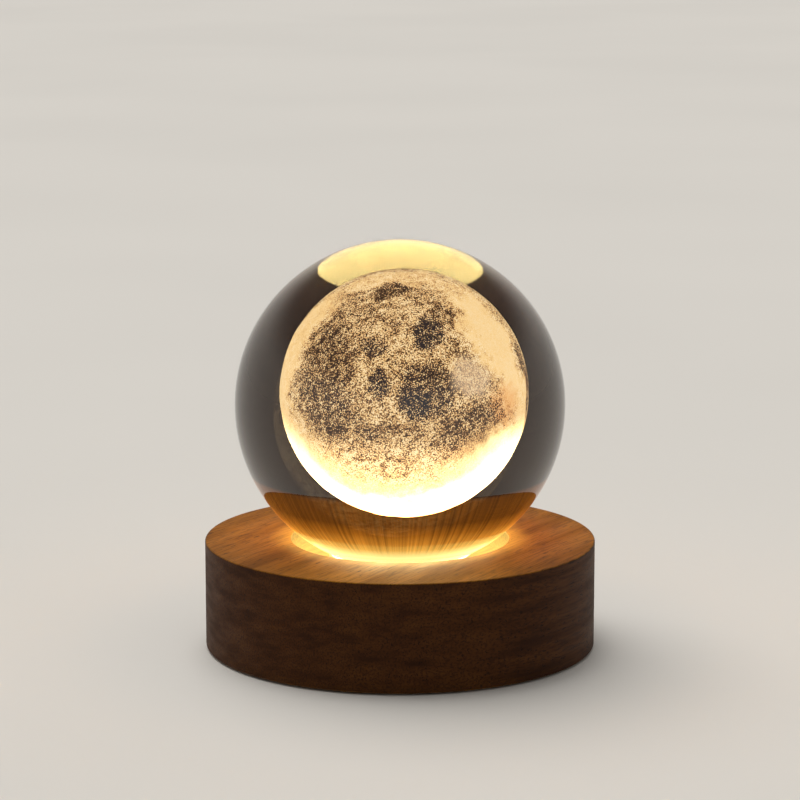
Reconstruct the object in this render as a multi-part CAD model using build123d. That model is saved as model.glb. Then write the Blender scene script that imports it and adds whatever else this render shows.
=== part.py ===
from build123d import *
import math
import os

# Sizes are millimetres. The origin is the middle of the lamp on the surface that it stands on.
# Z is up, -Y is the front, and the charging socket and the button are at the back, +Y.

# Clearances
running_gap = 0.2
fit_gap = 0.1
thread_gap = 0.05
seat_gap = 0.2

# Glass ball and the moon engraved inside it
ball_diameter = 80.0
ball_sink = 7.1
moon_diameter = 40.0
moon_shift_x = 0.7
moon_lift = 2.0

# Soft ring that the ball rests on
seat_contact_diameter = 30.0
seat_ring_width = 4.6
seat_ring_inner_height = 1.0
seat_rebate_depth = 0.5
seat_side_gap = 0.3

# Wooden base
base_diameter = 95.0
base_edge_round = 0.4
recess_diameter = 53.0
recess_edge_round = 0.3

# Window under the ball
window_gap = 1.4
window_thickness = 1.5
window_overlap = 3.0
light_hole_step = 0.2

# Light board and its chips
led_board_thickness = 1.0
led_board_diameter = 25.4
led_chip_length = 3.5
led_chip_width = 2.8
led_chip_height = 0.9
led_chip_ring = 9.0
led_ring_count = 4
led_ring_start_angle = 45.0
led_board_screw_inset = 1.7
led_board_screw_count = 2

# Reflector cup that holds the light board and the window
reflector_top_inset = 0.5
reflector_bottom_diameter = 15.0
reflector_height = 4.5
cup_wall = 3.0
flange_thickness = 3.0
flange_rim = 3.0
ear_count = 3
ear_start_angle = 30.0
ear_radius = 3.2
ear_wood_margin = 3.5
ear_clearance = 0.8

# Flat rechargeable cell, its tape and its safety board
cell_width = 34.0
cell_length = 30.0
cell_thickness = 5.0
cell_edge_round = 1.0
cell_rear_y = 4.0
cell_clearance = 2.9
cell_tape_thickness = 1.0
cell_tape_margin = 3.0
protection_width = 24.0
protection_length = 3.0
protection_thickness = 1.6
wiring_space = 2.3

# Bottom cover and feet
cover_thickness = 2.2
cover_ledge = 7.0
cover_side_gap = 0.3
cover_screw_count = 4
cover_screw_start_angle = 45.0
foot_proud = 0.5
foot_thickness = 1.6
foot_diameter = 10.0
foot_edge_round = 0.4
foot_count = 4
foot_ring_diameter = 62.0

# Screws: thread diameter, length under the head, head diameter and head height
cover_screw = (2.4, 10.0, 4.6, 1.3)
holder_screw = (2.4, 8.0, 4.4, 1.6)
led_board_screw = (1.6, 3.2, 3.0, 0.9)
control_board_screw = (1.8, 2.6, 3.4, 1.0)
screw_recess_share = 0.5
screw_slot_width = 0.6

# Sleeve in the back wall
insert_width = 27.0
insert_height = 10.0
insert_wall = 1.2
insert_front_wall = 1.5
insert_face_recess = 2.4
insert_inner_overhang = 0.6
insert_shelf_width = 20.0
insert_shelf_thickness = 1.8
insert_shelf_lap = 3.6
port_flare = 0.5

# Control board
control_board_width = 22.4
control_board_thickness = 1.2
control_board_overhang = 11.0
control_board_end_gap = 0.2
control_screw_x = 9.2
control_screw_inset = 2.6

# Charging socket
usb_width = 8.94
usb_height = 3.26
usb_length = 7.5
usb_wall = 0.3
usb_x = 5.2
usb_mouth_recess = 0.4
usb_window_gap = 0.18
usb_tongue_width = 6.7
usb_tongue_thickness = 0.7
usb_block_length = 1.4
usb_tongue_recess = 0.8
usb_fit_gap = 0.03

# Button and push switch
button_x = -6.4
button_diameter = 4.6
button_proud = 1.3
button_travel = 0.8
button_edge_round = 0.5
button_collar_diameter = 6.0
button_collar_thickness = 1.0
button_tail_diameter = 3.6
button_tail_length = 1.15
button_rest_gap = 0.15
switch_size = 6.0
switch_press_room = 0.3
switch_wall = 0.8
switch_floor = 1.0
plunger_head_diameter = 2.3
plunger_head_length = 1.0
plunger_stem_diameter = 1.6
plunger_stem_depth = 1.5
plunger_gap = 0.15
spring_wire = 0.25
spring_diameter = 1.9
spring_turn_count = 4
spring_points_per_turn = 8
spring_end_gap = 0.05

# Charging light
indicator_x = -1.3
indicator_width = 2.2
indicator_length = 1.2
indicator_height = 2.0
indicator_inset = 1.7
light_pipe_diameter = 1.8
light_pipe_proud = 0.2

# Battery plug and socket
battery_socket_x = 5.0
battery_socket_width = 5.8
battery_socket_length = 6.0
battery_socket_height = 4.1
battery_socket_inset = 5.0
battery_socket_wall = 0.5
battery_plug_free_length = 3.5
battery_plug_gap = 0.1

# Chips on the control board: width along X, length along Y, height
charging_chip_size = (4.0, 5.0, 1.5)
charging_chip_x = -6.8
inductor_size = (4.0, 4.0, 2.0)
inductor_x = -2.0
capacitor_size = (1.25, 2.0, 1.0)
capacitor_x = 1.2
capacitor_count = 2
capacitor_pitch = 2.3
resistor_size = (0.8, 1.6, 0.5)
resistor_first_x = -2.6
resistor_count = 4
resistor_pitch = 1.2
chip_inset = 4.6
resistor_inset = 9.6

# Wires
lead_diameter = 1.1
lead_spacing = 2.2
led_leads_x = -3.1
led_lead_board_x = -4.0
led_lead_start_y = 4.0
led_lead_bend_radius = 6.0
led_lead_pad_length = 3.0
led_lead_straight_share = 1 / 3
battery_lead_bend_radius = 3.3
battery_lead_spacing = 2.0
lead_board_gap = 0.03

# Heights, from the supporting surface up to the top of the wood
base_underside = foot_proud
cover_top = base_underside + cover_thickness
tape_top = cover_top + cell_tape_thickness
cell_top = tape_top + cell_thickness
led_board_bottom = cell_top + wiring_space
led_board_top = led_board_bottom + led_board_thickness
reflector_top = led_board_top + reflector_height
cavity_ceiling = reflector_top + window_thickness
ball_bottom = cavity_ceiling + window_gap
base_top = ball_bottom + ball_sink
flange_bottom = cavity_ceiling - flange_thickness

# Ball, and the cone of the seat ring that it touches
ball_radius = ball_diameter / 2
ball_centre_z = ball_bottom + ball_radius
seat_contact_radius = seat_contact_diameter / 2
seat_sine = seat_contact_radius / ball_radius
seat_cosine = math.sqrt(1 - seat_sine ** 2)
seat_inner_radius = seat_contact_radius - seat_ring_width / 2
seat_outer_radius = seat_contact_radius + seat_ring_width / 2


def seat_cone_height(radius):
    """Height of the seat ring's bearing cone at a radius: one seat gap outside the ball's tangent."""
    return ball_centre_z - (ball_radius + seat_gap - radius * seat_sine) / seat_cosine


seat_ring_bottom = seat_cone_height(seat_inner_radius) - seat_ring_inner_height
recess_floor = seat_ring_bottom + seat_rebate_depth

# Radii
base_radius = base_diameter / 2
recess_radius = recess_diameter / 2
light_hole_radius = seat_inner_radius - light_hole_step
window_radius = light_hole_radius + window_overlap
reflector_top_radius = light_hole_radius - reflector_top_inset
cup_radius = reflector_top_radius + cup_wall
flange_radius = window_radius + fit_gap + flange_rim
ear_ring_radius = recess_radius + ear_wood_margin
cell_front_y = cell_rear_y - cell_length
cell_corner_radius = math.hypot(cell_width / 2, cell_front_y)
cavity_radius = max(cell_corner_radius + cell_clearance, ear_ring_radius + ear_radius + ear_clearance)
cover_step_radius = cavity_radius + cover_ledge
cover_radius = cover_step_radius - cover_side_gap
cover_screw_radius = (cavity_radius + cover_radius) / 2

# Back of the lamp: the sleeve's face, the board in the sleeve and what stands on the board
insert_face_y = base_radius - insert_face_recess
insert_wall_y = insert_face_y - insert_front_wall
insert_inner_y = math.sqrt(cavity_radius ** 2 - (insert_width / 2) ** 2) - insert_inner_overhang
control_board_top = led_board_bottom - lead_diameter - lead_board_gap
control_board_bottom = control_board_top - control_board_thickness
control_board_outer_y = insert_wall_y - control_board_end_gap
control_board_inner_y = insert_inner_y - control_board_overhang
port_z = control_board_top + usb_height / 2
usb_mouth_y = insert_face_y - usb_mouth_recess
usb_inner_y = usb_mouth_y - usb_length
button_collar_y = insert_wall_y - button_rest_gap
button_tail_y = button_collar_y - button_collar_thickness - button_tail_length
switch_front_y = button_tail_y - button_travel - switch_press_room
switch_rear_y = switch_front_y - switch_size
switch_bore_rear_y = switch_rear_y + switch_floor
switch_bore_front_y = switch_front_y - switch_wall
plunger_head_front_y = switch_bore_front_y - fit_gap
plunger_head_rear_y = plunger_head_front_y - plunger_head_length
chip_row_y = control_board_inner_y + chip_inset
battery_socket_y = control_board_inner_y + battery_socket_inset
battery_plug_y = battery_socket_y - battery_plug_free_length
battery_lead_z = control_board_top + battery_socket_height / 2


def disc(radius, low, high, x=0.0, y=0.0):
    """Upright cylinder between two heights."""
    return Pos(x, y, (low + high) / 2) * Cylinder(radius, high - low)


def block(x_range, y_range, z_range):
    """Box between two values along each axis."""
    middle = [(a + b) / 2 for a, b in (x_range, y_range, z_range)]
    size = [b - a for a, b in (x_range, y_range, z_range)]
    return Pos(*middle) * Box(*size)


def rod_y(radius, y_low, y_high, x, z):
    """Cylinder lying along Y between two values of y."""
    return Pos(x, (y_low + y_high) / 2, z) * Rot(90, 0, 0) * Cylinder(radius, y_high - y_low)


def slot_y(width, height, y_low, y_high, x, z):
    """Bar along Y with a round-ended outline that is wider than it is high."""
    outline = Plane((x, y_low, z), x_dir=(1, 0, 0), z_dir=(0, 1, 0)) * SlotOverall(width, height)
    return extrude(outline, y_high - y_low)


def turned(points):
    """Solid of revolution about Z of a closed outline of (radius, height) points."""
    outline = make_face(Plane.XZ * Polyline(*points, close=True))
    return revolve(outline, Axis.Z)


def ring_points(count, radius, first_angle=0.0):
    """Evenly spaced points on a circle."""
    angles = [math.radians(first_angle + 360 * i / count) for i in range(count)]
    return [(radius * math.cos(a), radius * math.sin(a)) for a in angles]


def pan_screw(size, seat_z, x, y, up=True):
    """Screw with a slotted round head outside seat_z and its thread on the other side."""
    thread, length, head, head_height = size
    away = -1 if up else 1
    head_z = seat_z + away * head_height
    body = disc(head / 2, min(seat_z, head_z), max(seat_z, head_z), x, y)
    tip_z = seat_z - away * length
    body += disc(thread / 2, min(seat_z, tip_z), max(seat_z, tip_z), x, y)
    slot_z = head_z - away * head_height * screw_recess_share
    slot = block(
        (x - head / 2, x + head / 2),
        (y - screw_slot_width / 2, y + screw_slot_width / 2),
        (min(head_z, slot_z), max(head_z, slot_z)),
    )
    return body - slot


def flat_screw(size, face_z, x, y):
    """Countersunk screw pointing up, with its head flush with face_z."""
    thread, length, head, head_height = size
    cone = Pos(x, y, face_z + head_height / 2) * Cone(head / 2, thread / 2, head_height)
    body = cone + disc(thread / 2, face_z + head_height, face_z + length, x, y)
    slot_top = face_z + head_height * screw_recess_share
    slot = block(
        (x - head / 2, x + head / 2),
        (y - screw_slot_width / 2, y + screw_slot_width / 2),
        (face_z, slot_top),
    )
    return body - slot


def wire_between(points, diameter, radius):
    """Round wire along straight runs joined by tangent arcs."""
    path = FilletPolyline(*points, radius=radius)
    section = Plane(path @ 0, z_dir=path % 0) * Circle(diameter / 2)
    return sweep(section, path=path)


def crystal_ball():
    """Clear ball with the round space that the engraving fills."""
    centre = Pos(0, 0, ball_centre_z)
    return centre * Sphere(ball_radius) - moon_place() * Sphere(moon_diameter / 2)


def moon_place():
    """Middle of the engraving inside the ball."""
    return Pos(moon_shift_x, 0, ball_centre_z + moon_lift)


def engraved_moon():
    """Engraved ball of glass, as one solid that fills its space in the clear ball."""
    return moon_place() * Sphere(moon_diameter / 2)


def seat_ring():
    """Soft ring whose upper face is a cone tangent to the ball."""
    return turned([
        (seat_inner_radius, seat_ring_bottom),
        (seat_outer_radius, seat_ring_bottom),
        (seat_outer_radius, seat_cone_height(seat_outer_radius)),
        (seat_inner_radius, seat_cone_height(seat_inner_radius)),
    ])


def port_opening(y_low, y_high, margin):
    """Round-ended bar through the back wall, larger than the sleeve by a margin all round."""
    return slot_y(insert_width + 2 * margin, insert_height + 2 * margin, y_low, y_high, 0, port_z)


def wooden_base():
    """Turned disc with the ball's recess, the light hole, the hollow underside and the port."""
    body = disc(base_radius, base_underside, base_top)
    body = fillet(body.edges().filter_by(GeomType.CIRCLE), base_edge_round)
    recess = disc(recess_radius, recess_floor, base_top)
    body -= recess
    rim = body.edges().filter_by(GeomType.CIRCLE).group_by(Axis.Z)[-1].sort_by(SortBy.RADIUS)[0]
    body = fillet(rim, recess_edge_round)
    body -= disc(seat_outer_radius + seat_side_gap, seat_ring_bottom, recess_floor)
    body -= disc(light_hole_radius, cavity_ceiling, seat_ring_bottom)
    body -= disc(cavity_radius, base_underside, cavity_ceiling)
    body -= disc(cover_step_radius, base_underside, cover_top)
    body -= port_opening(0, base_radius, fit_gap)
    flare_depth = base_radius - insert_face_y
    body -= port_opening(insert_face_y + fit_gap, insert_face_y + flare_depth, port_flare)
    thread, length = holder_screw[:2]
    for x, y in ring_points(ear_count, ear_ring_radius, ear_start_angle):
        body -= disc(thread / 2 + thread_gap, cavity_ceiling, flange_bottom + length + thread_gap, x, y)
    thread, length = cover_screw[:2]
    for x, y in cover_screw_points():
        tip_z = base_underside + length + thread_gap
        body -= disc(thread / 2 + thread_gap, base_underside, tip_z, x, y)
    return body


def cover_screw_points():
    """Middles of the cover screws, between the port and the feet."""
    return ring_points(cover_screw_count, cover_screw_radius, cover_screw_start_angle)


def foot_points():
    """Middles of the feet, between the cover screws."""
    return ring_points(foot_count, foot_ring_diameter / 2)


def bottom_cover():
    """Round plate with countersunk holes and shallow seats for the feet."""
    body = disc(cover_radius, base_underside, cover_top)
    thread, _, head, head_height = cover_screw
    for x, y in cover_screw_points():
        body -= disc(thread / 2 + fit_gap, base_underside, cover_top, x, y)
        body -= Pos(x, y, base_underside + head_height / 2) * Cone(
            head / 2 + fit_gap, thread / 2 + fit_gap, head_height
        )
    for x, y in foot_points():
        body -= disc(foot_diameter / 2 + fit_gap, base_underside, foot_thickness, x, y)
    return body


def rubber_feet():
    """Flat round feet that stand a little below the wood."""
    feet = []
    for x, y in foot_points():
        foot = disc(foot_diameter / 2, 0, foot_thickness, x, y)
        feet.append(fillet(foot.edges().group_by(Axis.Z)[0], foot_edge_round))
    return feet


def light_window():
    """Frosted disc pressed against the ceiling round the light hole."""
    return disc(window_radius, reflector_top, cavity_ceiling)


def led_holder():
    """Reflector cup with a flange, three ears and the seats of the window and the light board."""
    body = disc(flange_radius, flange_bottom, cavity_ceiling)
    for i, (x, y) in enumerate(ring_points(ear_count, ear_ring_radius, ear_start_angle)):
        arm = block((0, ear_ring_radius), (-ear_radius, ear_radius), (flange_bottom, cavity_ceiling))
        body += Rot(0, 0, ear_start_angle + 360 * i / ear_count) * arm
        body += disc(ear_radius, flange_bottom, cavity_ceiling, x, y)
    body += disc(cup_radius, led_board_bottom, flange_bottom)
    body -= disc(window_radius + fit_gap, reflector_top, cavity_ceiling)
    body -= turned([
        (0, led_board_top),
        (reflector_bottom_diameter / 2, led_board_top),
        (reflector_top_radius, reflector_top),
        (0, reflector_top),
    ])
    body -= disc(led_board_diameter / 2 + fit_gap, led_board_bottom, led_board_top)
    thread = holder_screw[0]
    for x, y in ring_points(ear_count, ear_ring_radius, ear_start_angle):
        body -= disc(thread / 2 + fit_gap, flange_bottom, cavity_ceiling, x, y)
    thread, length = led_board_screw[:2]
    for x, y in led_board_screw_points():
        body -= disc(thread / 2 + thread_gap, led_board_top, led_board_bottom + length + thread_gap, x, y)
    return body


def holder_screws():
    """Screws up through the ears into the wood."""
    points = ring_points(ear_count, ear_ring_radius, ear_start_angle)
    return [pan_screw(holder_screw, flange_bottom, x, y) for x, y in points]


def led_board_screw_points():
    """Middles of the screws at the light board's edge."""
    return ring_points(led_board_screw_count, led_board_diameter / 2 - led_board_screw_inset)


def led_board():
    """Round board that carries the light chips."""
    body = disc(led_board_diameter / 2, led_board_bottom, led_board_top)
    for x, y in led_board_screw_points():
        body -= disc(led_board_screw[0] / 2 + thread_gap, led_board_bottom, led_board_top, x, y)
    return body


def led_board_screws():
    """Screws up through the light board into the cup."""
    return [pan_screw(led_board_screw, led_board_bottom, x, y) for x, y in led_board_screw_points()]


def led_chips():
    """One light chip in the middle and the others round it."""
    points = [(0.0, 0.0)] + ring_points(led_ring_count, led_chip_ring / 2, led_ring_start_angle)
    chips = []
    for x, y in points:
        chips.append(block(
            (x - led_chip_length / 2, x + led_chip_length / 2),
            (y - led_chip_width / 2, y + led_chip_width / 2),
            (led_board_top, led_board_top + led_chip_height),
        ))
    return chips


def led_leads():
    """Two wires from under the light board to the top of the control board."""
    z = led_board_bottom - lead_board_gap - lead_diameter / 2
    end_y = control_board_inner_y + led_lead_pad_length
    run = (end_y - led_lead_start_y) * led_lead_straight_share
    wires = []
    for side in (-1, 1):
        near = led_leads_x + side * lead_spacing / 2
        far = led_lead_board_x + side * lead_spacing / 2
        wires.append(wire_between([
            (near, led_lead_start_y, z),
            (near, led_lead_start_y + run, z),
            (far, end_y - run, z),
            (far, end_y, z),
        ], lead_diameter, led_lead_bend_radius))
    return wires


def control_board_outline(margin):
    """Board from its inner end to the sleeve's front wall, cut short behind the button."""
    half = control_board_width / 2 + margin
    heights = (control_board_bottom, control_board_top + margin)
    body = block((-half, half), (control_board_inner_y, control_board_outer_y), heights)
    notch_x = button_x + button_collar_diameter / 2 + running_gap
    notch = block((-half, notch_x), (switch_front_y + fit_gap, control_board_outer_y), heights)
    return body - notch


def control_screw_points():
    """Middles of the screws at the board's inner end."""
    y = control_board_inner_y + control_screw_inset
    return [(-control_screw_x, y), (control_screw_x, y)]


def control_board():
    """Circuit board that slides into the sleeve."""
    body = control_board_outline(0)
    for x, y in control_screw_points():
        radius = control_board_screw[0] / 2 + thread_gap
        body -= disc(radius, control_board_bottom, control_board_top, x, y)
    return body


def control_board_screws():
    """Screws down through the control board into the sleeve's shelf."""
    points = control_screw_points()
    return [pan_screw(control_board_screw, control_board_top, x, y, up=False) for x, y in points]


def port_insert():
    """Sleeve through the back wall, with a front wall, board grooves and a shelf under the board."""
    body = slot_y(insert_width, insert_height, insert_inner_y, insert_face_y, 0, port_z)
    inner_width = insert_width - 2 * insert_wall
    inner_height = insert_height - 2 * insert_wall
    body -= slot_y(inner_width, inner_height, insert_inner_y, insert_wall_y, 0, port_z)
    shelf_top = control_board_bottom
    shelf_bottom = shelf_top - insert_shelf_thickness
    half = insert_shelf_width / 2
    shelf_y = (control_board_inner_y + fit_gap, insert_inner_y + insert_shelf_lap)
    body += block((-half, half), shelf_y, (shelf_bottom, shelf_top))
    body -= control_board_outline(fit_gap)
    window_width = usb_width + 2 * usb_window_gap
    window_height = usb_height + 2 * usb_window_gap
    body -= slot_y(window_width, window_height, insert_wall_y, insert_face_y, usb_x, port_z)
    button_hole = button_diameter / 2 + running_gap
    body -= rod_y(button_hole, insert_wall_y, insert_face_y, button_x, port_z)
    body -= rod_y(light_pipe_diameter / 2 + thread_gap, insert_wall_y, insert_face_y, indicator_x, port_z)
    for x, y in control_screw_points():
        tip_z = control_board_top - control_board_screw[1] - thread_gap
        body -= disc(control_board_screw[0] / 2 + thread_gap, tip_z, shelf_top, x, y)
    return body


def usb_socket_shell():
    """Flat round-ended metal tube."""
    outer = slot_y(usb_width, usb_height, usb_inner_y, usb_mouth_y, usb_x, port_z)
    bore = (usb_width - 2 * usb_wall, usb_height - 2 * usb_wall)
    return outer - slot_y(*bore, usb_inner_y, usb_mouth_y, usb_x, port_z)


def usb_socket_tongue():
    """Block that closes the back of the shell, and the contact tongue that stands out of it."""
    inset = 2 * (usb_wall + usb_fit_gap)
    block_y = usb_inner_y + usb_block_length
    body = slot_y(usb_width - inset, usb_height - inset, usb_inner_y, block_y, usb_x, port_z)
    body += block(
        (usb_x - usb_tongue_width / 2, usb_x + usb_tongue_width / 2),
        (block_y, usb_mouth_y - usb_tongue_recess),
        (port_z - usb_tongue_thickness / 2, port_z + usb_tongue_thickness / 2),
    )
    return body


def power_button():
    """Round cap with a collar behind the front wall and a tail that takes the plunger."""
    front_y = insert_face_y + button_proud
    cap = rod_y(button_diameter / 2, button_collar_y, front_y, button_x, port_z)
    cap = fillet(cap.edges().group_by(Axis.Y)[-1], button_edge_round)
    collar_rear = button_collar_y - button_collar_thickness
    cap += rod_y(button_collar_diameter / 2, collar_rear, button_collar_y, button_x, port_z)
    cap += rod_y(button_tail_diameter / 2, button_tail_y, collar_rear, button_x, port_z)
    hole_end = button_tail_y + plunger_stem_depth
    return cap - rod_y(plunger_stem_diameter / 2, button_tail_y, hole_end, button_x, port_z)


def switch_housing():
    """Block with the bore of the plunger's head and a smaller hole for its stem."""
    body = block(
        (button_x - switch_size / 2, button_x + switch_size / 2),
        (switch_rear_y, switch_front_y),
        (control_board_top, control_board_top + usb_height),
    )
    bore = plunger_head_diameter / 2 + plunger_gap
    body -= rod_y(bore, switch_bore_rear_y, switch_bore_front_y, button_x, port_z)
    hole = plunger_stem_diameter / 2 + plunger_gap
    return body - rod_y(hole, switch_bore_front_y, switch_front_y, button_x, port_z)


def switch_plunger():
    """Head in the bore and a stem that ends in the button's tail."""
    stem_end = button_tail_y + plunger_stem_depth
    head = (plunger_head_rear_y, plunger_head_front_y)
    body = rod_y(plunger_head_diameter / 2, *head, button_x, port_z)
    return body + rod_y(plunger_stem_diameter / 2, plunger_head_front_y, stem_end, button_x, port_z)


def switch_spring():
    """Coil spring in the bore, of short turns each drawn as an arc through three points."""
    start_y = switch_bore_rear_y + spring_end_gap + spring_wire / 2
    end_y = plunger_head_rear_y - spring_end_gap - spring_wire / 2
    radius = spring_diameter / 2 - spring_wire / 2
    steps = spring_turn_count * spring_points_per_turn

    def place(step):
        angle = math.tau * step / spring_points_per_turn
        y = start_y + (end_y - start_y) * step / steps
        return (button_x + radius * math.cos(angle), y, port_z + radius * math.sin(angle))

    arcs = [ThreePointArc(place(i), place(i + 1), place(i + 2)) for i in range(0, steps, 2)]
    path = Wire(arcs)
    section = Plane(path @ 0, z_dir=path % 0) * Circle(spring_wire / 2)
    gap = (end_y - start_y) / spring_turn_count - spring_wire
    print("spring: least gap between turns", round(gap, 3), "mm")
    return sweep(section, path=path)


def indicator_led():
    """Small side-facing light on the control board."""
    front_y = control_board_outer_y - indicator_inset
    return block(
        (indicator_x - indicator_width / 2, indicator_x + indicator_width / 2),
        (front_y - indicator_length, front_y),
        (control_board_top, control_board_top + indicator_height),
    )


def indicator_light_pipe():
    """Clear rod from the small light out through the sleeve's front wall."""
    start_y = control_board_outer_y - indicator_inset + fit_gap
    end_y = insert_face_y + light_pipe_proud
    return rod_y(light_pipe_diameter / 2, start_y, end_y, indicator_x, port_z)


def battery_socket():
    """Open box that takes the battery plug from the middle of the lamp."""
    half = battery_socket_width / 2
    x = (battery_socket_x - half, battery_socket_x + half)
    y = (battery_socket_y, battery_socket_y + battery_socket_length)
    z = (control_board_top, control_board_top + battery_socket_height)
    wall = battery_socket_wall
    room = block((x[0] + wall, x[1] - wall), (y[0], y[1] - 2 * wall), (z[0] + wall, z[1] - wall))
    return block(x, y, z) - room


def battery_plug():
    """Plug on the battery's wires, part way into its socket."""
    inset = battery_socket_wall + battery_plug_gap
    half = battery_socket_width / 2 - inset
    low = control_board_top + inset
    high = control_board_top + battery_socket_height - inset
    end_y = battery_socket_y + battery_socket_length - 2 * inset
    return block(
        (battery_socket_x - half, battery_socket_x + half), (battery_plug_y, end_y), (low, high)
    )


def battery_leads():
    """Two wires from the cell's safety board up to the battery plug."""
    low_z = tape_top + cell_thickness / 2
    start_y = cell_rear_y + protection_length
    drop_y = cup_radius - lead_diameter
    rise_y = battery_plug_y - battery_lead_bend_radius
    wires = []
    for side in (-1, 1):
        x = battery_socket_x + side * battery_lead_spacing / 2
        wires.append(wire_between([
            (x, start_y, low_z),
            (x, drop_y - battery_lead_bend_radius, low_z),
            (x, rise_y, battery_lead_z),
            (x, battery_plug_y, battery_lead_z),
        ], lead_diameter, battery_lead_bend_radius))
    return wires


def battery_cell():
    """Flat cell with rounded edges."""
    half = cell_width / 2
    body = block((-half, half), (cell_front_y, cell_rear_y), (tape_top, cell_top))
    return fillet(body.edges().filter_by(Axis.Y), cell_edge_round)


def cell_protection_board():
    """Narrow safety board along the cell's rear edge."""
    middle = tape_top + cell_thickness / 2
    half = protection_width / 2
    return block(
        (-half, half),
        (cell_rear_y, cell_rear_y + protection_length),
        (middle - protection_thickness / 2, middle + protection_thickness / 2),
    )


def cell_foam_tape():
    """Double-sided foam tape between the cover and the cell."""
    half = cell_width / 2 - cell_tape_margin
    y_range = (cell_front_y + cell_tape_margin, cell_rear_y - cell_tape_margin)
    return block((-half, half), y_range, (cover_top, tape_top))


def chip(size, x, y):
    """Rectangular component on the control board, from its middle in X and its inner edge in Y."""
    width, length, height = size
    return block(
        (x - width / 2, x + width / 2),
        (y, y + length),
        (control_board_top, control_board_top + height),
    )


def charging_chip():
    """Chip that charges the cell."""
    return chip(charging_chip_size, charging_chip_x, chip_row_y)


def power_inductor():
    """Coil of the light's power supply, in its square shield."""
    return chip(inductor_size, inductor_x, chip_row_y)


def chip_capacitors():
    """Capacitors in a column beside the inductor."""
    rows = range(capacitor_count)
    return [chip(capacitor_size, capacitor_x, chip_row_y + i * capacitor_pitch) for i in rows]


def chip_resistors():
    """Resistors in a row behind the inductor."""
    y = control_board_inner_y + resistor_inset
    columns = range(resistor_count)
    return [chip(resistor_size, resistor_first_x + i * resistor_pitch, y) for i in columns]


def write(name, shape):
    """Write one sub-part, or a group of alike ones, to its own file."""
    if isinstance(shape, list):
        shape = Compound(children=shape)
    export_step(shape, os.path.join("parts", name + ".step"))


builders = [
    crystal_ball, engraved_moon, seat_ring,
    wooden_base, bottom_cover, rubber_feet,
    light_window, led_holder, holder_screws, led_board, led_chips, led_board_screws, led_leads,
    port_insert, control_board, control_board_screws,
    charging_chip, power_inductor, chip_capacitors, chip_resistors,
    usb_socket_shell, usb_socket_tongue, indicator_led, indicator_light_pipe,
    power_button, switch_housing, switch_plunger, switch_spring,
    battery_socket, battery_plug, battery_leads,
    battery_cell, cell_protection_board, cell_foam_tape,
]

os.makedirs("parts", exist_ok=True)
for builder in builders:
    write(builder.__name__, builder())
write("cover_screws", [flat_screw(cover_screw, base_underside, x, y) for x, y in cover_screw_points()])
print("ball centre", round(ball_centre_z, 3), "base top", round(base_top, 3))
print("recess floor", round(recess_floor, 3), "port height", round(port_z, 3))
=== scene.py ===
"""Looks of the crystal ball lamp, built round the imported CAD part.

Everything is in metres in the part's own frame: Z up, -Y towards the front, the origin in the
middle of the lamp on the surface that it stands on.
"""
import logging
import math
from dataclasses import dataclass
from enum import Enum
from typing import Protocol

import bpy
import numpy as np
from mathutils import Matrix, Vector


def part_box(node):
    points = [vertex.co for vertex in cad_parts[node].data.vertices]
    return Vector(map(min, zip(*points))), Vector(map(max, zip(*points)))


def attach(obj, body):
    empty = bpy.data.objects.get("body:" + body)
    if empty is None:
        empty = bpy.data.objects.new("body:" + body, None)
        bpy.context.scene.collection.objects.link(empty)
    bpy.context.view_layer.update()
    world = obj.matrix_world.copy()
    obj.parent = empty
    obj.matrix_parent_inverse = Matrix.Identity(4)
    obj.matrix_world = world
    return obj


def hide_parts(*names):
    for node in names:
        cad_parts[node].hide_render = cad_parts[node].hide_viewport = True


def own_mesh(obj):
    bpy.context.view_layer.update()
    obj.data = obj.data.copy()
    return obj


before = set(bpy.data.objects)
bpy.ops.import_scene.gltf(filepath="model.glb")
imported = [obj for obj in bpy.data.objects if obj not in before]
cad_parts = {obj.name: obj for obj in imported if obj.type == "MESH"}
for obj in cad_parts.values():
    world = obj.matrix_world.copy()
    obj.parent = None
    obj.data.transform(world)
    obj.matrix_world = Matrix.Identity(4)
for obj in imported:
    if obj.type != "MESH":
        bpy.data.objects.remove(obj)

LOG = logging.getLogger("lamp")
MM = 0.001
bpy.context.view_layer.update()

Colour = tuple[float, float, float, float]
Stops = tuple[tuple[float, Colour], ...]
# The low and the high end of a span, and what they become.
Range = tuple[float, float, float, float]
Socket = bpy.types.NodeSocket
Value = float | tuple | Socket

# Most values of a noise lie between these.
NOISE_SPAN = (0.3, 0.7)
# A ray that sees a piece through the glass has bounced twice; one that the glass has mirrored
# on its way has bounced once more.
PLAIN_BOUNCES = 2.5


class Body(Enum):
    """The CAD bodies that a rebuilt piece rides on."""

    BASE = "base"
    BALL = "ball"


class Op(Enum):
    """The sums that a Math node does."""

    ADD = "ADD"
    SUBTRACT = "SUBTRACT"
    MULTIPLY = "MULTIPLY"
    POWER = "POWER"
    MAXIMUM = "MAXIMUM"
    ABSOLUTE = "ABSOLUTE"
    GREATER = "GREATER_THAN"


class Blend(Enum):
    """The ways in which a Mix node lays one colour over another."""

    PLAIN = "MIX"
    MULTIPLY = "MULTIPLY"
    ADD = "ADD"


class Finish(Protocol):
    """Anything that makes a material."""

    def material(self) -> bpy.types.Material:
        """Build the material."""


def tone(red: int, green: int, blue: int) -> Colour:
    """Turn a colour as a screen shows it into the linear values that shaders take.

    Args:
        red: Red from 0 to 255.
        green: Green from 0 to 255.
        blue: Blue from 0 to 255.

    Returns:
        Linear red, green, blue and an alpha of 1.
    """
    shown = np.array([red, green, blue]) / 255
    linear = np.where(shown <= 0.04045, shown / 12.92, ((shown + 0.055) / 1.055) ** 2.4)
    return (*linear.tolist(), 1.0)


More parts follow.
